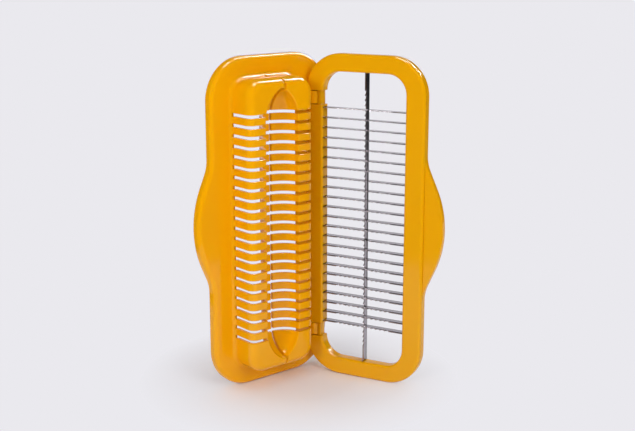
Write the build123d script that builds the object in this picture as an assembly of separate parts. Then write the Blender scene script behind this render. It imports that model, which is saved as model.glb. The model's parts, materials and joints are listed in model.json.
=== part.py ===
"""Sausage cutter: a slotted holding tray hinged to a frame of serrated blades.

The two halves stand on end and part open like a book, as the cutter is shown.
The sausage lies in the tray's long channel. The frame swings over it, and its
blades pass down through the tray's slots.

Millimetres, +Z up along the hinge. The tray's long side runs along -X from the
hinge and its face looks along -Y. Each half is drawn flat in the XZ plane as
(distance from the hinge axis, height), and depths count from the hinge axis,
positive towards the face that the two halves turn to each other when shut.
"""

from build123d import *
from math import cos, radians, tan
import os

# Both halves
LENGTH = 262.0
LOBE_RADIUS = 78.0
LOBE_SLOPE = 24.0
LOBE_BLEND = 28.0
OPEN_ANGLE = 111.2
MOULD_GAP = 0.3
FIT_GAP = 0.05
PLANE_MARGIN = 0.01
CUTTER_MARGIN = 1.0

# Hinge
AXIS_TO_FACE = 5.6
PIN_RADIUS = 1.5
PIN_GRIP = 8.0
PIN_HELD_GAP = 0.02
PIN_RUNNING_GAP = 0.06
LUG_RADIUS = 5.6
LUG_LENGTH = 10.0
LUG_STEM = 6.0
LUG_END_GAP = 0.6
LUG_FROM_END = 35.2
SADDLE_WALL = 2.3
SADDLE_SETBACK = 1.8

# Blades
BLADES = 23
BLADE_TO_LUG = 2.2
BLADE_THICKNESS = 0.5
BLADE_BACK = -3.6
BLADE_EDGE = 4.0
BLADE_GRIP = 5.0
BLADE_LAP = 0.2
LAP_GAP = 0.1
TOOTH_PITCH = 4.0
TOOTH_DEPTH = 1.5
TOOTH_TIP = 0.5
CROSS_PLAIN_END = 11.0
LONG_PLAIN_END = 11.0
COMB_NOTCH = 1.2
COMB_NOTCH_DEPTH = 2.0

# Frame
FRAME_BACK = -4.4
FRAME_SEAM = 2.4
FRAME_OUTER = 97.1
FRAME_CORNER = 30.0
FRAME_LOBE_PROUD = 15.5
FRAME_LOBE_RISE = -1.5
FRAME_END_BAR = 14.0
FRAME_SIDE_BAR = 16.1
WINDOW_HINGE_EDGE = 10.0
WINDOW_CORNER = 15.5
FRAME_FRONT_ROUND = 2.4
FRAME_BACK_ROUND = 2.6
WINDOW_ROUND = 1.8
SEAM_ROUND = 0.5
PEG_RADIUS = 1.5
PEG_LENGTH = 3.0
PEG_SPREAD = 22.0
PEG_STEP = 44.0

# Tray flange
TRAY_HINGE_EDGE = -18.0
TRAY_OUTER_INSET = 0.8
TRAY_LOBE_PROUD = 13.3
TRAY_LOBE_RISE = 2.0
TRAY_CORNER = 33.0
RIM_DEPTH = 7.0
RIM_WALL = 2.4
RIM_ROUND = 3.4
FLANGE_WALL = 2.6

# Tray body
BODY_HEIGHT = 23.0
BODY_HINGE_GAP = 5.2
BODY_OUTER_GAP = 3.6
BODY_END_GAP = 2.2
BODY_CORNER = 13.0
BODY_ROUND = 6.0
BODY_ROOT = 3.5
BODY_WALL = 2.4
BODY_MOUTH = 5.0
SLOT_WIDTH = 2.6
SLIT_WIDTH = 2.0
SLOT_FLOOR_GAP = 0.4
SLOT_OVERRUN = 2.2

# Channel in the body
CHANNEL_RADIUS = 15.6
CHANNEL_END = 23.5
CHANNEL_TAPER = 24.0
CHANNEL_BLUNT = 1.2
CHANNEL_LIP = 1.0

FRAME_FRONT = AXIS_TO_FACE - MOULD_GAP
FACE = -AXIS_TO_FACE
TRAY_BACK = FACE - RIM_DEPTH
PLATEAU = FACE + BODY_HEIGHT
MIDDLE = LENGTH / 2
FRAME_LOBE = FRAME_OUTER + FRAME_LOBE_PROUD
TRAY_OUTER = FRAME_OUTER - TRAY_OUTER_INSET
TRAY_LOBE = TRAY_OUTER + TRAY_LOBE_PROUD
WINDOW_OUTER_EDGE = FRAME_OUTER - FRAME_SIDE_BAR
WINDOW_CENTRE = (WINDOW_HINGE_EDGE + WINDOW_OUTER_EDGE) / 2
WINDOW_WIDTH = WINDOW_OUTER_EDGE - WINDOW_HINGE_EDGE
WINDOW_LENGTH = LENGTH - 2 * FRAME_END_BAR
BODY_WIDTH = WINDOW_WIDTH - BODY_HINGE_GAP - BODY_OUTER_GAP
CENTRE = WINDOW_HINGE_EDGE + BODY_HINGE_GAP + BODY_WIDTH / 2
BODY_LENGTH = WINDOW_LENGTH - 2 * BODY_END_GAP
NOTCH_LENGTH = LUG_LENGTH + 2 * LUG_END_GAP
LUG_HEIGHTS = {"lower": LUG_FROM_END, "upper": LENGTH - LUG_FROM_END}
END_BLADE_HEIGHT = LUG_FROM_END + NOTCH_LENGTH / 2 + BLADE_TO_LUG
BLADE_PITCH = (LENGTH - 2 * END_BLADE_HEIGHT) / (BLADES - 1)
BLADE_HEIGHTS = [END_BLADE_HEIGHT + BLADE_PITCH * i for i in range(BLADES)]
ROLL_RADIUS = FRAME_FRONT
SADDLE_INNER = LUG_RADIUS + MOULD_GAP
SADDLE_OUTER = SADDLE_INNER + SADDLE_WALL


def face_plane(depth):
    """The plane of a half at this depth, looking out of its inside face."""
    return Plane.XZ.offset(depth)


def slab(plan, low, high):
    """A flat plan drawn as (distance, height), filled between two depths."""
    return extrude(face_plane(low) * plan, high - low)


def block(width, length, low, high, distance, height):
    """A square block, centred on a distance and a height, between two depths."""
    return slab(Pos(distance, height) * Rectangle(width, length), low, high)


def rod(radius, length, height):
    """A round bar on the hinge axis, centred on a height."""
    return Pos(0, 0, height) * Cylinder(radius, length)


def finger_lobe(outer_edge, reach, middle):
    """Corner points and radii of the bulge that the fingers squeeze."""
    apex = reach - LOBE_RADIUS + LOBE_RADIUS / cos(radians(LOBE_SLOPE))
    rise = (apex - outer_edge) / tan(radians(LOBE_SLOPE))
    points = [
        (outer_edge, middle - rise),
        (apex, middle),
        (outer_edge, middle + rise),
    ]
    return points, [LOBE_BLEND, LOBE_RADIUS, LOBE_BLEND]


def half_outline(side, hinge_edge, outer_edge, corner, lobe_reach=None, lobe_rise=0):
    """Plan of a half: a long rounded rectangle, with a finger lobe if given its reach."""
    low_corners = [(hinge_edge, 0), (outer_edge, 0)]
    high_corners = [(outer_edge, LENGTH), (hinge_edge, LENGTH)]
    lobe = []
    lobe_radii = []
    if lobe_reach:
        lobe, lobe_radii = finger_lobe(outer_edge, lobe_reach, MIDDLE + lobe_rise)
    points = low_corners + lobe + high_corners
    radii = [corner, corner] + lobe_radii + [corner, corner]
    turned = [(side * distance, height) for distance, height in points]
    return make_face(FilletPolyline(*turned, radius=radii, close=True))


def body_plan(side, grow):
    """The tray's body seen from in front, grown or shrunk all round."""
    width = BODY_WIDTH + 2 * grow
    length = BODY_LENGTH + 2 * grow
    return Pos(side * CENTRE, MIDDLE) * RectangleRounded(width, length, BODY_CORNER + grow)


def edges_at(solid, depth):
    """Edges that lie wholly in the plane of one depth."""
    return solid.edges().filter_by_position(
        Axis.Y, -depth - PLANE_MARGIN, -depth + PLANE_MARGIN
    )


def channel_plan(side, grow):
    """The channel seen from in front: straight sides drawn in to a point at each end."""
    half_width = CHANNEL_RADIUS + grow
    tip = CHANNEL_END - grow
    shoulder = CHANNEL_END + CHANNEL_TAPER
    centre = side * CENTRE
    blunt = CHANNEL_BLUNT + grow / 2
    rise = shoulder - tip
    reach = half_width - blunt
    bow_radius = (rise**2 + reach**2) / (2 * reach)
    right = Line((half_width, shoulder), (half_width, LENGTH - shoulder))
    top = RadiusArc((half_width, LENGTH - shoulder), (blunt, LENGTH - tip), -bow_radius)
    cap = Line((blunt, LENGTH - tip), (0, LENGTH - tip))
    spine = Line((0, LENGTH - tip), (0, tip))
    foot = Line((0, tip), (blunt, tip))
    bottom = RadiusArc((blunt, tip), (half_width, shoulder), -bow_radius)
    half = make_face([right, top, cap, spine, foot, bottom])
    return Pos(centre, 0) * half


def channel_form(side, grow):
    """The hollow that holds the sausage: a spindle with its axis level with the body's top."""
    axis = Axis((side * CENTRE, -PLATEAU, 0), (0, 0, 1))
    return revolve(face_plane(PLATEAU) * channel_plan(side, grow), axis, 360)


def blade_slit(side, low, high):
    """The long blade's slit, curved about the hinge so that the blade swings in freely."""
    length = BODY_LENGTH + 2 * SLOT_OVERRUN
    outer = rod(CENTRE + SLIT_WIDTH / 2, length, MIDDLE)
    inner = rod(CENTRE - SLIT_WIDTH / 2, length, MIDDLE)
    return (outer - inner) & block(CENTRE, length, low, high, side * CENTRE, MIDDLE)


def make_tray():
    """One moulding: flange with a skirted rim, hollow body, channel, slots and hinge lugs."""
    side = -1
    outline = half_outline(
        side, TRAY_HINGE_EDGE, TRAY_OUTER, TRAY_CORNER, TRAY_LOBE, TRAY_LOBE_RISE
    )
    flange = slab(outline, TRAY_BACK, FACE)
    flange = fillet(edges_at(flange, FACE), RIM_ROUND)
    body = slab(body_plan(side, 0), FACE - FLANGE_WALL, PLATEAU)
    body = fillet(edges_at(body, PLATEAU), BODY_ROUND)
    channel_shell = channel_form(side, BODY_WALL) & body
    tray = flange + body
    root = [
        edge
        for edge in edges_at(tray, FACE)
        if abs(edge.center().X - side * CENTRE) < BODY_WIDTH / 2 + CUTTER_MARGIN
        and BODY_END_GAP < edge.center().Z < LENGTH - BODY_END_GAP
    ]
    tray = fillet(root, BODY_ROOT)

    under_flange = slab(offset(outline, -RIM_WALL), TRAY_BACK - CUTTER_MARGIN, FACE - FLANGE_WALL)
    inside = slab(body_plan(side, -BODY_WALL), TRAY_BACK, PLATEAU - BODY_WALL)
    inside = fillet(edges_at(inside, PLATEAU - BODY_WALL), BODY_ROUND - BODY_WALL)
    mouth_top = FACE - FLANGE_WALL + BODY_MOUTH
    mouth = slab(body_plan(side, BODY_MOUTH - BODY_WALL), TRAY_BACK, mouth_top)
    mouth = chamfer(edges_at(mouth, mouth_top), BODY_MOUTH)
    tray = tray - under_flange - inside - mouth + channel_shell - channel_form(side, 0)
    lip = [
        edge
        for edge in edges_at(tray, PLATEAU)
        if abs(edge.center().X - side * CENTRE) < CHANNEL_RADIUS + FIT_GAP
        and CHANNEL_END - FIT_GAP < edge.center().Z < LENGTH - CHANNEL_END + FIT_GAP
    ]
    tray = fillet(lip, CHANNEL_LIP)

    slot_floor = -BLADE_EDGE - SLOT_FLOOR_GAP
    slot_top = PLATEAU + CUTTER_MARGIN
    slot_reach = BODY_WIDTH + 2 * SLOT_OVERRUN
    slots = [
        block(slot_reach, SLOT_WIDTH, slot_floor, slot_top, side * CENTRE, height)
        for height in BLADE_HEIGHTS
    ]
    tray = tray - slots - blade_slit(side, slot_floor, slot_top)

    for height in LUG_HEIGHTS.values():
        stem = block(LUG_STEM, LUG_LENGTH, FACE - FLANGE_WALL / 2, 0, 0, height)
        tray = tray + stem + rod(LUG_RADIUS, LUG_LENGTH, height)
    for height in LUG_HEIGHTS.values():
        tray = tray - rod(PIN_RADIUS + PIN_RUNNING_GAP, NOTCH_LENGTH, height)
    return tray


def hinge_cuts():
    """What the hinge side of the frame loses: its square edge and the two lug notches."""
    depth_low = FRAME_BACK - CUTTER_MARGIN
    depth_high = FRAME_FRONT + CUTTER_MARGIN
    square_edge = block(2 * ROLL_RADIUS, LENGTH, depth_low, depth_high, -ROLL_RADIUS, MIDDLE)
    cuts = square_edge - rod(ROLL_RADIUS, LENGTH, MIDDLE)
    reach = WINDOW_HINGE_EDGE + ROLL_RADIUS + CUTTER_MARGIN
    for height in LUG_HEIGHTS.values():
        centre = WINDOW_HINGE_EDGE + CUTTER_MARGIN / 2 - reach / 2
        notch = block(reach, NOTCH_LENGTH, depth_low, depth_high, centre, height)
        web = rod(SADDLE_OUTER, NOTCH_LENGTH, height) - rod(SADDLE_INNER, NOTCH_LENGTH, height)
        web_start = LUG_STEM / 2 + MOULD_GAP
        web_side = block(SADDLE_OUTER, NOTCH_LENGTH, depth_low, FRAME_FRONT - SADDLE_SETBACK,
                         web_start + SADDLE_OUTER / 2, height)
        cuts = cuts + (notch - (web & web_side))
    return cuts


def blade_pockets():
    """Seats for the blade ends in the frame's bars, wider where they meet the window."""
    low = BLADE_BACK - FIT_GAP
    high = BLADE_EDGE + FIT_GAP
    seat = BLADE_THICKNESS + 2 * FIT_GAP
    seat_reach = BLADE_GRIP + FIT_GAP
    notch_reach = WINDOW_WIDTH + 2 * COMB_NOTCH_DEPTH
    pockets = []
    for height in BLADE_HEIGHTS:
        across = (low, high, WINDOW_CENTRE, height)
        pockets.append(block(WINDOW_WIDTH + 2 * seat_reach, seat, *across))
        pockets.append(block(notch_reach, COMB_NOTCH, *across))
    pockets.append(block(seat, WINDOW_LENGTH + 2 * seat_reach, low, high, CENTRE, MIDDLE))
    notch_length = WINDOW_LENGTH + 2 * COMB_NOTCH_DEPTH
    pockets.append(block(COMB_NOTCH, notch_length, low, high, CENTRE, MIDDLE))
    return pockets


def pin_seats(gap, top):
    """Grooves that take the held ends of both hinge pins, open up to a depth."""
    held_radius = PIN_RADIUS + gap
    length = NOTCH_LENGTH + 2 * (PIN_GRIP + FIT_GAP)
    seats = []
    for height in LUG_HEIGHTS.values():
        seats.append(rod(held_radius, length, height))
        seats.append(block(2 * held_radius, length, 0, top, 0, height))
    return seats


def pin_keepers():
    """Ribs under the ring that close the grooves over the hinge pins."""
    width = 2 * (PIN_RADIUS - FIT_GAP)
    keepers = []
    for height in LUG_HEIGHTS.values():
        for direction in (-1, 1):
            middle = height + direction * (NOTCH_LENGTH + PIN_GRIP) / 2
            keepers.append(block(width, PIN_GRIP, PIN_RADIUS + FIT_GAP, FRAME_SEAM, 0, middle))
    return keepers


def peg_places():
    """Where the ring's locating pegs enter the cover, clear of the blade ends."""
    end_bar = FRAME_END_BAR / 2
    outer_bar = (WINDOW_OUTER_EDGE + BLADE_GRIP + FRAME_OUTER) / 2
    places = [
        (CENTRE + step * PEG_SPREAD, height)
        for step in (-1, 1)
        for height in (end_bar, LENGTH - end_bar)
    ]
    places += [(outer_bar, MIDDLE + step * PEG_STEP) for step in (-2, -1, 0, 1, 2)]
    return places


def pegs(radius, length):
    """The locating pegs, or their sockets when drawn a little larger."""
    return [
        slab(Pos(distance, height) * Circle(radius), FRAME_SEAM - length, FRAME_SEAM)
        for distance, height in peg_places()
    ]


def frame_window():
    """The blade window, cut right through the frame."""
    plan = RectangleRounded(WINDOW_WIDTH, WINDOW_LENGTH, WINDOW_CORNER)
    window = Pos(WINDOW_CENTRE, MIDDLE) * plan
    return slab(window, FRAME_BACK - CUTTER_MARGIN, FRAME_FRONT + CUTTER_MARGIN)


def make_cover():
    """Back half of the frame: carries the finger lobe and holds pins and blades."""
    outline = half_outline(
        1, -ROLL_RADIUS, FRAME_OUTER, FRAME_CORNER, FRAME_LOBE, FRAME_LOBE_RISE
    )
    cover = slab(outline, FRAME_BACK, FRAME_SEAM)
    cover = fillet(edges_at(cover, FRAME_BACK), FRAME_BACK_ROUND)
    cover = fillet(edges_at(cover, FRAME_SEAM), SEAM_ROUND)
    cover = cover - frame_window()
    cover = fillet(edges_at(cover, FRAME_BACK).filter_by(window_edge), WINDOW_ROUND)
    cover = cover - hinge_cuts() - blade_pockets()
    cover = cover - pin_seats(PIN_HELD_GAP, FRAME_SEAM + CUTTER_MARGIN)
    return cover - pegs(PEG_RADIUS + FIT_GAP, PEG_LENGTH + MOULD_GAP)


def make_ring():
    """Front half of the frame: a plain ring that clamps the blades and pins."""
    outline = half_outline(1, -ROLL_RADIUS, FRAME_OUTER, FRAME_CORNER)
    ring = slab(outline, FRAME_SEAM, FRAME_FRONT)
    ring = fillet(edges_at(ring, FRAME_FRONT), FRAME_FRONT_ROUND)
    ring = ring - frame_window()
    ring = fillet(edges_at(ring, FRAME_FRONT).filter_by(window_edge), WINDOW_ROUND)
    ring = ring - hinge_cuts() - blade_pockets()
    return ring + pin_keepers() + pegs(PEG_RADIUS, PEG_LENGTH)


def window_edge(edge):
    """True for an edge on the rim of the blade window."""
    across = abs(edge.center().X - WINDOW_CENTRE) < WINDOW_WIDTH / 2 + FIT_GAP
    along = abs(edge.center().Z - MIDDLE) < WINDOW_LENGTH / 2 + FIT_GAP
    return across and along


def make_blade(span, plain_end, laps, lap_low, lap_high):
    """A steel strip along X with scalloped teeth on one edge and lap notches across it."""
    width = BLADE_EDGE - BLADE_BACK
    strip = Pos(0, (BLADE_EDGE + BLADE_BACK) / 2) * Rectangle(span, width)
    valley_half = (TOOTH_PITCH - TOOTH_TIP) / 2
    valley_radius = (valley_half**2 + TOOTH_DEPTH**2) / (2 * TOOTH_DEPTH)
    valleys = int((span - 2 * BLADE_GRIP - 2 * plain_end) / TOOTH_PITCH / 2) * 2
    valley_depth = BLADE_EDGE - TOOTH_DEPTH + valley_radius
    for place in GridLocations(TOOTH_PITCH, 1, valleys, 1):
        strip = strip - place * Pos(0, valley_depth) * Circle(valley_radius)
    notch = BLADE_THICKNESS + 2 * LAP_GAP
    for lap in laps:
        cut = Pos(lap, (lap_low + lap_high) / 2) * Rectangle(notch, lap_high - lap_low)
        strip = strip - cut
    return extrude(strip, BLADE_THICKNESS / 2, both=True)


def make_cross_blade(height):
    """A blade across the window, notched from the back to drop over the long blade."""
    span = WINDOW_WIDTH + 2 * BLADE_GRIP
    laps = [CENTRE - WINDOW_CENTRE]
    blade = make_blade(span, CROSS_PLAIN_END, laps, BLADE_BACK - LAP_GAP, BLADE_LAP + LAP_GAP)
    lying = Plane((WINDOW_CENTRE, 0, height), x_dir=(1, 0, 0), z_dir=(0, 0, -1))
    return lying * blade


def make_long_blade():
    """The blade along the window, notched from the front at each crossing."""
    span = WINDOW_LENGTH + 2 * BLADE_GRIP
    crossings = [height - MIDDLE for height in BLADE_HEIGHTS]
    blade = make_blade(span, LONG_PLAIN_END, crossings, BLADE_LAP - LAP_GAP, BLADE_EDGE + LAP_GAP)
    standing = Plane((CENTRE, 0, MIDDLE), x_dir=(0, 0, 1), z_dir=(1, 0, 0))
    return standing * blade


def make_pin(height):
    """A steel hinge pin with its ends held in the frame."""
    return rod(PIN_RADIUS, NOTCH_LENGTH + 2 * PIN_GRIP, height)


def main():
    os.makedirs("parts", exist_ok=True)
    frame_parts = {
        "frame_cover": make_cover(),
        "frame_ring": make_ring(),
        "long_blade": make_long_blade(),
    }
    for number, height in enumerate(reversed(BLADE_HEIGHTS), start=1):
        frame_parts[f"cross_blade_{number:02d}"] = make_cross_blade(height)
    for name, height in LUG_HEIGHTS.items():
        frame_parts[f"hinge_pin_{name}"] = make_pin(height)
    swing = Rot(0, 0, OPEN_ANGLE - 180)
    parts = {"base_tray": make_tray()}
    parts.update({name: swing * part for name, part in frame_parts.items()})

    box = Compound(children=[Compound(part.solids()) for part in parts.values()]).bounding_box()
    centre = box.center()
    shift = Pos(-centre.X, -centre.Y, -box.min.Z)
    print("size", box.size)
    print("hinge axis at", shift.position)
    for name, part in parts.items():
        export_step(shift * part, f"parts/{name}.step")


main()
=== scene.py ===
import json
import math

import bmesh
import bpy
from mathutils import Matrix, Vector


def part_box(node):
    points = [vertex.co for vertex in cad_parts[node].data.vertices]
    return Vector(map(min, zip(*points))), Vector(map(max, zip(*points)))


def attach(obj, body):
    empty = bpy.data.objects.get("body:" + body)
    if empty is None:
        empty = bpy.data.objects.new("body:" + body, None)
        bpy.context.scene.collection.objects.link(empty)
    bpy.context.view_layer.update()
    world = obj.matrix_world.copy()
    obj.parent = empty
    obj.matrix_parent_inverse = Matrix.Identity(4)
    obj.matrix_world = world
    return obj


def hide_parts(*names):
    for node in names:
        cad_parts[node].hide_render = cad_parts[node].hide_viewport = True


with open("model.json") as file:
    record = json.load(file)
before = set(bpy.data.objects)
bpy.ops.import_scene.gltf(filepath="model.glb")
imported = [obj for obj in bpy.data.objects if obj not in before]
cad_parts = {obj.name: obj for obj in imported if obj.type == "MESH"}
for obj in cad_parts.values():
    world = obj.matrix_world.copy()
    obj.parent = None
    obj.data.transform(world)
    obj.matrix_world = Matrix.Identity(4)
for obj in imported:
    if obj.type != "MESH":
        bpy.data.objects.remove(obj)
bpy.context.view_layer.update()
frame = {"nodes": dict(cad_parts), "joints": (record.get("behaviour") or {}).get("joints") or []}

# The view: the cutter stands open on a table and is seen from its left, a little from above.
# The camera is level from side to side and looks down at it from under a metre away.
MM = 0.001
CAMERA_FROM_HINGE = Vector((-575.9, -680.8, 342.1)) * MM
CAMERA_DOWN, CAMERA_ROUND = 13.39, -40.38
hinge = next(joint for joint in frame["joints"] if joint["name"] == "frame_hinge")
hinge_axis = Vector((hinge["pos_m"][0], hinge["pos_m"][1], 0.0))
camera_data = bpy.data.cameras.new("camera")
camera_data.sensor_width = 36.0
camera_data.lens = 64.05
camera_data.clip_end = 60.0
camera = bpy.data.objects.new("camera", camera_data)
camera.location = hinge_axis + CAMERA_FROM_HINGE
camera.rotation_euler = (math.radians(90 - CAMERA_DOWN), 0.0, math.radians(CAMERA_ROUND))
bpy.context.scene.collection.objects.link(camera)
bpy.context.scene.camera = camera
bpy.context.scene.view_settings.view_transform = "Standard"


# The tray: one moulding in glossy orange-yellow plastic, with the channel for the sausage,
# a slot for each blade and the finger lobe. Its surface has the faint waves and cloudy
# colour of a big thin moulding, with light smears in its gloss.
CLOUDS_PER_METRE, FLOW_PER_METRE = 22.0, 30.0
FLOW_STRETCH = (1.0, 1.0, 0.12)
CLOUD_SHARE, FLOW_SHARE = 0.6, 0.4
SMEARS_PER_METRE = 55.0
SMEARS_DULL = 0.06
WAVES_PER_METRE, GRAIN_PER_METRE = 260.0, 2600.0
WAVE_DEPTH = 0.02 * MM
GRAIN_SHARE = 0.12
LIP_RADIUS = 1.2 * MM


class Term:
    """One output of a node. Numbers and terms are added and multiplied as in plain sums."""

    def __init__(self, recipe, output):
        self.recipe = recipe
        self.output = output

    def __getitem__(self, name):
        return Term(self.recipe, self.output.node.outputs[name])

    def sum(self, operation, *values, clamp=False):
        settings = {"operation": operation, "use_clamp": clamp}
        return self.recipe.node("ShaderNodeMath", settings, dict(enumerate(values)))

    def __add__(self, other):
        return self.sum("ADD", self, other)

    def __radd__(self, other):
        return self.sum("ADD", other, self)

    def __sub__(self, other):
        return self.sum("SUBTRACT", self, other)

    def __rsub__(self, other):
        return self.sum("SUBTRACT", other, self)

    def __mul__(self, other):
        return self.sum("MULTIPLY", self, other)

    def __rmul__(self, other):
        return self.sum("MULTIPLY", other, self)

    def __truediv__(self, other):
        return self.sum("DIVIDE", self, other)

    def __abs__(self):
        return self.sum("ABSOLUTE", self)

    def __lt__(self, other):
        return self.sum("LESS_THAN", self, other)

    def __gt__(self, other):
        return self.sum("GREATER_THAN", self, other)

    def clamped(self):
        return self.sum("ADD", self, 0.0, clamp=True)

    def at_least(self, floor):
        return self.sum("MAXIMUM", self, floor)

    def root(self):
        return self.sum("SQRT", self)

    def past_whole(self):
        return self.sum("FRACT", self)

    def nearest_whole(self):
        return self.sum("ROUND", self)


class Recipe:
    """A node tree that is written down step by step."""

    def __init__(self, tree):
        self.tree = tree

    def node(self, kind, settings=None, inputs=None, output=0):
        node = self.tree.nodes.new(kind)
        for name, value in (settings or {}).items():
            setattr(node, name, value)
        for name, value in (inputs or {}).items():
            if isinstance(value, Term):
                self.tree.links.new(value.output, node.inputs[name])
            else:
                node.inputs[name].default_value = value
        return Term(self, node.outputs[output]) if len(node.outputs) else node

    def colours(self, factor, first, second):
        """A colour between two others."""
        inputs = {0: factor, 6: first, 7: second}
        settings = {"data_type": "RGBA", "clamp_factor": True}
        return self.node("ShaderNodeMix", settings, inputs, output=2)

    def noise(self, place, scale, detail=2.0, stretch=None):
        """Cloudy noise from 0 to 1 over object coordinates, in cycles per metre."""
        if stretch:
            place = self.node("ShaderNodeMapping", {}, {"Vector": place, "Scale": stretch})
        inputs = {"Vector": place, "Scale": scale, "Detail": detail}
        return self.node("ShaderNodeTexNoise", {}, inputs)


class Finish(Recipe):
    """A material with one Principled shader."""

    def __init__(self, name, fixed):
        self.material = bpy.data.materials.new(name)
        self.material.use_nodes = True
        super().__init__(self.material.node_tree)
        self.shader = self.tree.nodes["Principled BSDF"]
        self.place = self.node("ShaderNodeTexCoord", output="Object")
        for socket, value in fixed.items():
            self.shader.inputs[socket].default_value = value

    def vary(self, socket, term):
        self.tree.links.new(term.output, self.shader.inputs[socket])


def moulded_plastic(name, pigment, deep, gloss):
    """Glossy pigmented plastic, cloudy in colour, with faint waves in its surface."""
    finish = Finish(name, {
        "IOR": 1.49,
        "Specular IOR Level": 0.3,
        "Subsurface Weight": 0.12,
        "Subsurface Radius": (1.0, 0.32, 0.04),
        "Subsurface Scale": 0.0035,
    })
    clouds = finish.noise(finish.place, CLOUDS_PER_METRE, detail=3.0)
    flow = finish.noise(finish.place, FLOW_PER_METRE, stretch=FLOW_STRETCH)
    cloudy = clouds * CLOUD_SHARE + flow * FLOW_SHARE
    finish.vary("Base Color", finish.colours(cloudy, pigment, deep))
    smears = finish.noise(finish.place, SMEARS_PER_METRE, detail=4.0)
    finish.vary("Roughness", gloss + smears * SMEARS_DULL)
    waves = finish.noise(finish.place, WAVES_PER_METRE, detail=1.0)
    grain = finish.noise(finish.place, GRAIN_PER_METRE)
    lips = finish.node("ShaderNodeBevel", {"samples": 6}, {"Radius": LIP_RADIUS})
    finish.vary("Normal", finish.node("ShaderNodeBump", {}, {
        "Strength": 0.35,
        "Distance": WAVE_DEPTH,
        "Height": waves + grain * GRAIN_SHARE,
        "Normal": lips,
    }))
    return finish.material


tray_plastic = moulded_plastic(
    "tray_plastic", (0.91, 0.415, 0.001, 1.0), (0.88, 0.375, 0.001, 1.0), gloss=0.05
)
frame["nodes"]["base_tray"].data.materials.clear()
frame["nodes"]["base_tray"].data.materials.append(tray_plastic)


# The blade frame: two mouldings, a back cover with the finger lobe and a plain front ring, that
# close on the blade ends and on the hinge pins. They are moulded in the tray's plastic, but their
# pigment is set a little darker as painted shade for the lower light on the frame.
# A darker copy of the tray's plastic: painted shade for the frame.
frame_plastic = moulded_plastic(
    "frame_plastic", (0.84, 0.405, 0.001, 1.0), (0.81, 0.365, 0.001, 1.0), gloss=0.06
)
for name in ("frame_cover", "frame_ring"):
    frame["nodes"][name].data.materials.clear()
    frame["nodes"][name].data.materials.append(frame_plastic)


# The blades: rolled steel strip half a millimetre thick, with scalloped teeth ground to an
# edge on both sides. Each of the cross blades meets the long one in half-lap notches.
LINES_PER_METRE, STAINS_PER_METRE = 900.0, 45.0
LINES_DULL = 0.10
LINE_DEPTH = 0.008 * MM


def rolled_steel(name, colour, dull, roughness, along):
    """Bare steel with fine rolling lines along the strip."""
    finish = Finish(name, {"Metallic": 1.0})
    lines = finish.noise(finish.place, LINES_PER_METRE, detail=3.0, stretch=along)
    stains = finish.noise(finish.place, STAINS_PER_METRE, detail=3.0)
    finish.vary("Base Color", finish.colours(lines * 0.5 + stains * 0.5, colour, dull))
    finish.vary("Roughness", roughness + lines * LINES_DULL)
    bump = {"Strength": 0.4, "Distance": LINE_DEPTH, "Height": lines}
    finish.vary("Normal", finish.node("ShaderNodeBump", {}, bump))
    return finish.material


strip_steel = rolled_steel(
    "strip_steel", (0.42, 0.385, 0.415, 1.0), (0.30, 0.275, 0.295, 1.0), 0.13, (1.0, 1.0, 6.0)
)
ground_steel = rolled_steel(
    "ground_steel", (0.44, 0.41, 0.43, 1.0), (0.34, 0.31, 0.33, 1.0), 0.16, (1.0, 1.0, 0.2)
)

BLADE_BACK = -3.6 * MM
BLADE_EDGE = 4.0 * MM
BLADE_THICKNESS = 0.5 * MM
GRIND_LINE = 1.3 * MM
EDGE_SHARE = 0.16
TOOTH_STEP = 4.0 * MM
TOOTH_DEPTH = 2.0 * MM
TOOTH_TIP = 1.2 * MM
BLADE_PITCH = 8.0 * MM
LAP_HALF = BLADE_THICKNESS * 0.7
CROSS_SPAN = 81.0 * MM
LONG_SPAN = 244.0 * MM
CROSS_BLADES_OUT = 45.5 * MM
LONG_BLADE_OUT = 46.3 * MM
MID_HEIGHT = 131.0 * MM
COLUMN = 0.2 * MM
SAME_POINT = COLUMN * 0.02


def columns_over(span):
    """How many points lie along a strip, at even steps."""
    return round(span / COLUMN) + 1


BLADE_INPUTS = {
    "Columns": ("NodeSocketInt", columns_over(CROSS_SPAN)),
    "Span": ("NodeSocketFloat", CROSS_SPAN),
    "Toothed Half": ("NodeSocketFloat", 24.0 * MM),
    "Lap Line": ("NodeSocketFloat", 0.3 * MM),
    "Lap Step": ("NodeSocketFloat", BLADE_PITCH),
    "Lap Offset": ("NodeSocketFloat", LONG_BLADE_OUT - CROSS_BLADES_OUT),
    "Lap Reach": ("NodeSocketFloat", 1.0 * MM),
    "Lap From Edge": ("NodeSocketFloat", 0.0),
}
blade_tree = bpy.data.node_groups.new("serrated_blade", "GeometryNodeTree")
blade_tree.interface.new_socket(
    name="Blade", in_out="OUTPUT", socket_type="NodeSocketGeometry"
)
for name, (kind, default) in BLADE_INPUTS.items():
    socket = blade_tree.interface.new_socket(name=name, in_out="INPUT", socket_type=kind)
    socket.default_value = default
recipe = Recipe(blade_tree)
sizes = recipe.node("NodeGroupInput")
place = recipe.node("ShaderNodeSeparateXYZ", {}, {0: recipe.node("GeometryNodeInputPosition")})


def vector(x=0.0, y=0.0, z=0.0):
    return recipe.node("ShaderNodeCombineXYZ", {}, {"X": x, "Y": y, "Z": z})


def drawn_out(mesh, chosen, depth):
    """The strip made wider by one row of faces, from its newest edge."""
    inputs = {"Mesh": mesh, "Offset": vector(y=depth), "Offset Scale": 1.0}
    if chosen:
        inputs["Selection"] = chosen
    return recipe.node("GeometryNodeExtrudeMesh", {"mode": "EDGES"}, inputs)


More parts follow.
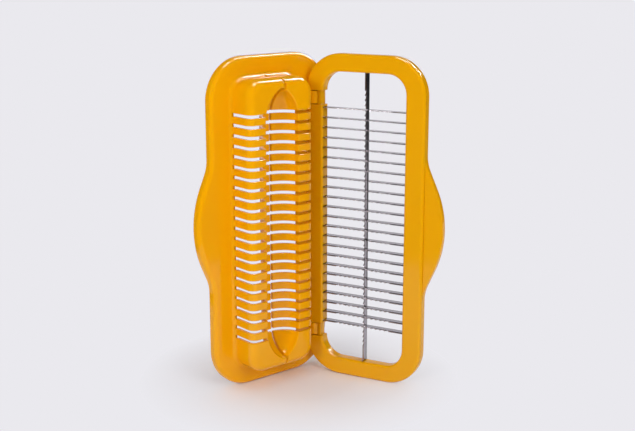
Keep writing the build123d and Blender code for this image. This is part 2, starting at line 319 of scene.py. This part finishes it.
spine = recipe.node("GeometryNodeMeshLine", {"mode": "END_POINTS"}, {
    "Count": sizes["Columns"],
    "Start Location": vector(sizes["Span"] * -0.5, BLADE_BACK),
    "Offset": vector(sizes["Span"] * 0.5, BLADE_BACK),
})
body = drawn_out(spine, None, sizes["Lap Line"] - BLADE_BACK)
body = drawn_out(body, body["Top"], GRIND_LINE - sizes["Lap Line"])
scoop_half = (TOOTH_STEP - TOOTH_TIP) / 2
from_scoop = ((place["X"] / TOOTH_STEP).past_whole() - 0.5) * (TOOTH_STEP / scoop_half)
scooped = BLADE_EDGE - (1.0 - from_scoop * from_scoop).at_least(0.0).root() * TOOTH_DEPTH
toothed = abs(place["X"]) < sizes["Toothed Half"]
edge_line = scooped * toothed + BLADE_EDGE * (1.0 - toothed)
body = drawn_out(body, body["Top"], edge_line - GRIND_LINE)

along = place["X"] - sizes["Lap Offset"]
off_lap = abs(along - (along / sizes["Lap Step"]).nearest_whole() * sizes["Lap Step"])
on_lap = (off_lap < LAP_HALF) * (abs(along) < sizes["Lap Reach"])
past_line = place["Y"] > sizes["Lap Line"]
from_edge = sizes["Lap From Edge"]
cut_side = past_line * from_edge + (1.0 - past_line) * (1.0 - from_edge)
notched = recipe.node(
    "GeometryNodeDeleteGeometry",
    {"domain": "FACE", "mode": "ALL"},
    {"Geometry": body, "Selection": (on_lap * cut_side) > 0.5},
)
raised = recipe.node("GeometryNodeExtrudeMesh", {"mode": "FACES"}, {
    "Mesh": notched,
    "Offset": vector(z=BLADE_THICKNESS),
    "Offset Scale": 1.0,
    "Individual": False,
})
both_sides = recipe.node("GeometryNodeJoinGeometry")
blade_tree.links.new(notched.output, both_sides.output.node.inputs[0])
blade_tree.links.new(raised.output, both_sides.output.node.inputs[0])
closed = recipe.node("GeometryNodeMergeByDistance", {}, {
    "Geometry": both_sides, "Distance": SAME_POINT,
})
centred = place["Z"] - BLADE_THICKNESS / 2
to_edge = ((place["Y"] - GRIND_LINE) / (BLADE_EDGE - GRIND_LINE)).clamped()
thinned = centred * (1.0 - to_edge * (1.0 - EDGE_SHARE))
ground = recipe.node("GeometryNodeSetPosition", {}, {
    "Geometry": closed, "Position": vector(place["X"], place["Y"], thinned),
})
realized = recipe.node("GeometryNodeRealizeInstances", {}, {"Geometry": ground})
plain = recipe.node("GeometryNodeSetMaterial", {}, {
    "Geometry": realized, "Material": strip_steel,
})
honed = recipe.node("GeometryNodeSetMaterial", {}, {
    "Geometry": plain, "Selection": place["Y"] > GRIND_LINE, "Material": ground_steel,
})
recipe.node("NodeGroupOutput", {}, {"Blade": honed})


def made_by(tree, name, chosen):
    """A plain mesh from a node tree, with its inputs set by the names of its sockets."""
    maker = bpy.data.objects.new(name + "_maker", bpy.data.meshes.new(name + "_maker"))
    bpy.context.scene.collection.objects.link(maker)
    modifier = maker.modifiers.new("tree", "NODES")
    modifier.node_group = tree
    for item in tree.interface.items_tree:
        if item.in_out == "INPUT" and item.name in chosen:
            modifier[item.identifier] = chosen[item.name]
    graph = bpy.context.evaluated_depsgraph_get()
    mesh = bpy.data.meshes.new_from_object(maker.evaluated_get(graph))
    maker.modifiers.clear()
    bpy.data.objects.remove(maker)
    mesh.name = name
    return mesh


def tidied(mesh):
    """The mesh with its doubled points merged and its faces turned outwards."""
    work = bmesh.new()
    work.from_mesh(mesh)
    bmesh.ops.remove_doubles(work, verts=work.verts, dist=SAME_POINT)
    bmesh.ops.recalc_face_normals(work, faces=work.faces)
    work.to_mesh(mesh)
    work.free()
    return mesh


def add_piece(name, mesh, body, slot, *nodes):
    """A piece that rides on a body and stands for CAD nodes."""
    piece = bpy.data.objects.new(name, mesh)
    bpy.context.scene.collection.objects.link(piece)
    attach(piece, body)
    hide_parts(*nodes)


OPENED = math.radians(-hinge["range_deg"][1])
ACROSS = Vector((math.cos(OPENED), math.sin(OPENED), 0.0))
FORWARD = Vector((math.sin(OPENED), -math.cos(OPENED), 0.0))
UP = Vector((0.0, 0.0, 1.0))


def laid(length_axis, out, height):
    """The place of a blade drawn with its length along X and its edge towards +Y."""
    thickness_axis = length_axis.cross(FORWARD)
    turn = Matrix((length_axis, FORWARD, thickness_axis)).transposed().to_4x4()
    spot = hinge_axis + ACROSS * out + UP * height
    return Matrix.Translation(spot) @ turn


cross_mesh = tidied(made_by(blade_tree, "cross_blade", {}))
for name in sorted(frame["nodes"]):
    if name.startswith("cross_blade_"):
        low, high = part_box(name)
        mesh = cross_mesh.copy()
        mesh.transform(laid(ACROSS, CROSS_BLADES_OUT, (low.z + high.z) / 2))
        add_piece(name.replace("cross_blade", "ground_blade"), mesh, "blade_frame",
                  "blade_steel", name)
long_mesh = tidied(made_by(blade_tree, "long_blade", {
    "Columns": columns_over(LONG_SPAN),
    "Span": LONG_SPAN,
    "Toothed Half": 104.0 * MM,
    "Lap Line": 0.1 * MM,
    "Lap Offset": 0.0,
    "Lap Reach": 90.0 * MM,
    "Lap From Edge": 1.0,
}))
long_mesh.transform(laid(UP, LONG_BLADE_OUT, MID_HEIGHT))
add_piece("ground_long_blade", long_mesh, "blade_frame", "blade_steel", "long_blade")


# The hinge pins: two lengths of bright drawn wire, held in the frame and running in the
# tray's lugs.
pin_finish = Finish("pin_steel", {"Metallic": 1.0})
DRAWING_LINES_PER_METRE = 1500.0
drawing_lines = pin_finish.noise(
    pin_finish.place, DRAWING_LINES_PER_METRE, stretch=(1.0, 1.0, 0.05)
)
pin_finish.vary("Base Color", pin_finish.colours(
    drawing_lines, (0.56, 0.56, 0.58, 1.0), (0.42, 0.42, 0.44, 1.0)
))
pin_finish.vary("Roughness", 0.22 + drawing_lines * 0.1)
for name in ("hinge_pin_lower", "hinge_pin_upper"):
    frame["nodes"][name].data.materials.clear()
    frame["nodes"][name].data.materials.append(pin_finish.material)


# The table: a wide pale sheet. Near the cutter it takes the light and the shadows, and
# further off it is as pale as the studio behind it.
PALE = (0.823, 0.815, 0.855, 1.0)
FLOOR_HALF = 14.0
PAPER_BELOW = 0.2 * MM
LIT_MIDDLE = (0.01, 0.04, 0.0)
LIT_REACH, LIT_FADE = 0.045, 0.085
table_mesh = bpy.data.meshes.new("table")
corners = [(-1, -1), (1, -1), (1, 1), (-1, 1)]
table_mesh.from_pydata(
    [(x * FLOOR_HALF, y * FLOOR_HALF, -PAPER_BELOW) for x, y in corners], [], [(0, 1, 2, 3)]
)
table = bpy.data.objects.new("table", table_mesh)
bpy.context.scene.collection.objects.link(table)
paper = bpy.data.materials.new("pale_paper")
paper.use_nodes = True
recipe = Recipe(paper.node_tree)
lit = recipe.tree.nodes["Principled BSDF"]
lit.inputs["Roughness"].default_value = 0.55
lit.inputs["Specular IOR Level"].default_value = 0.25
lit.inputs["Base Color"].default_value = (0.92, 0.92, 0.955, 1.0)
glow = recipe.node("ShaderNodeEmission", {}, {"Color": PALE, "Strength": 1.0})
spot = recipe.node("ShaderNodeTexCoord", output="Object")
between = {0: spot, 1: LIT_MIDDLE}
reach = recipe.node("ShaderNodeVectorMath", {"operation": "DISTANCE"}, between, output="Value")
far = ((reach - LIT_REACH) / LIT_FADE).clamped()


def plainly_seen(recipe):
    """One for a ray from the camera, straight or by way of gloss or glass."""
    rays = recipe.node("ShaderNodeLightPath")
    return (rays["Is Camera Ray"] + rays["Is Glossy Ray"] + rays["Is Transmission Ray"]).clamped()


blend = recipe.node("ShaderNodeMixShader", {}, {0: far * plainly_seen(recipe), 2: glow})
recipe.tree.links.new(lit.outputs[0], blend.output.node.inputs[1])
recipe.tree.links.new(blend.output, recipe.tree.nodes["Material Output"].inputs["Surface"])
table_mesh.materials.append(paper)


# The studio: soft light from above, a lamp on the left and one in front. Two more lamps, high
# on the right and overhead, show only in the gloss, and so does the dark room round the paper.
# Behind the cutter the room is open low down, and the pale backdrop gleams in the blades.
SKY = (1.0, 0.99, 1.0, 1.0)
LOW_SKY, HIGH_SKY = 0.05, 0.64
SKY_RISES_FROM, SKY_RISES_OVER = 0.05, 0.6
world = bpy.data.worlds.new("studio")
bpy.context.scene.world = world
world.use_nodes = True
recipe = Recipe(world.node_tree)
backdrop = recipe.node("ShaderNodeBackground", {}, {"Color": PALE, "Strength": 1.0})
low_sky = recipe.node("ShaderNodeBackground", {}, {"Color": SKY, "Strength": LOW_SKY})
high_sky = recipe.node("ShaderNodeBackground", {}, {"Color": SKY, "Strength": HIGH_SKY})
looking = recipe.node("ShaderNodeTexCoord", output="Generated")
upwards = recipe.node("ShaderNodeSeparateXYZ", {}, {0: looking})["Z"]
overhead = ((upwards - SKY_RISES_FROM) / SKY_RISES_OVER).clamped()
dome = recipe.node("ShaderNodeMixShader", {}, {0: overhead, 1: low_sky, 2: high_sky})
both = recipe.node("ShaderNodeMixShader", {}, {0: plainly_seen(recipe), 1: dome, 2: backdrop})
recipe.tree.links.new(both.output, recipe.tree.nodes["World Output"].inputs["Surface"])

# The room's dark floor starts close to the cutter, and further out on its right.
ROOM_WALL, ROOM_SILL, ROOM_TOP = 3.2, 1.6, 3.4
NEAR_EDGE, RIGHT_EDGE = 0.3, 0.95
RIGHT_AZIMUTH, RIGHT_HALF = math.radians(-7.0), math.radians(24.0)
SWEEP_AZIMUTH, SWEEP_HALF = math.radians(72.0), math.radians(44.0)
ROOM_STEPS = 60
JUST_OFF = 1.0 * MM


def turned(first, second):
    """The angle between two directions, without its sign."""
    return abs((first - second + math.pi) % (2 * math.pi) - math.pi)


points = []
faces = []
for step in range(ROOM_STEPS):
    angle = 2 * math.pi * step / ROOM_STEPS
    edge = RIGHT_EDGE if turned(angle, RIGHT_AZIMUTH) < RIGHT_HALF else NEAR_EDGE
    room_profile = [(edge, JUST_OFF), (ROOM_WALL, JUST_OFF), (ROOM_WALL, ROOM_SILL),
                    (ROOM_WALL, ROOM_TOP), (JUST_OFF, ROOM_TOP)]
    points += [(r * math.cos(angle), r * math.sin(angle), z) for r, z in room_profile]
    middle = angle + math.pi / ROOM_STEPS
    off_sweep = turned(middle, SWEEP_AZIMUTH)
    for row in range(len(room_profile) - 1):
        below_sill = room_profile[row + 1][1] <= ROOM_SILL
        if below_sill and off_sweep < SWEEP_HALF:
            continue
        near = step * len(room_profile) + row
        next_near = ((step + 1) % ROOM_STEPS) * len(room_profile) + row
        faces.append((near, next_near, next_near + 1, near + 1))
room_mesh = bpy.data.meshes.new("dark_room")
room_mesh.from_pydata(points, [], faces)
dark_cloth = Finish("dark_cloth", {"Base Color": (0.02, 0.02, 0.022, 1.0), "Roughness": 0.9})
room_mesh.materials.append(dark_cloth.material)
room = bpy.data.objects.new("dark_room", room_mesh)
bpy.context.scene.collection.objects.link(room)
room.visible_camera = False
room.visible_diffuse = False
room.visible_shadow = False
room.visible_transmission = False

LAMPS_FACE = Vector((0.0, 0.02, 0.13))


def softbox(name, towards, distance, width, height, power, gleam=False):
    """A lamp that faces the cutter from one side. A gleam is seen in the gloss alone."""
    data = bpy.data.lights.new(name, "AREA")
    data.shape = "RECTANGLE"
    data.size = width
    data.size_y = height
    data.energy = power
    lamp = bpy.data.objects.new(name, data)
    direction = Vector(towards).normalized()
    lamp.location = LAMPS_FACE + direction * distance
    lamp.rotation_euler = direction.to_track_quat("Z", "Y").to_euler()
    lamp.visible_glossy = gleam
    lamp.visible_diffuse = not gleam
    bpy.context.scene.collection.objects.link(lamp)


softbox("lamp_left", (-0.90, -0.30, 0.32), distance=1.5, width=0.4, height=0.4, power=6.8)
softbox("lamp_front", (-0.10, -0.90, 0.42), distance=1.6, width=0.7, height=0.7, power=7.6)
softbox("strip_above_right", (0.63, -0.02, 0.77), distance=1.5, width=0.26, height=1.5,
        power=64.0, gleam=True)
softbox("panel_overhead", (-0.10, -0.05, 0.99), distance=1.5, width=0.5, height=0.5,
        power=20.0, gleam=True)
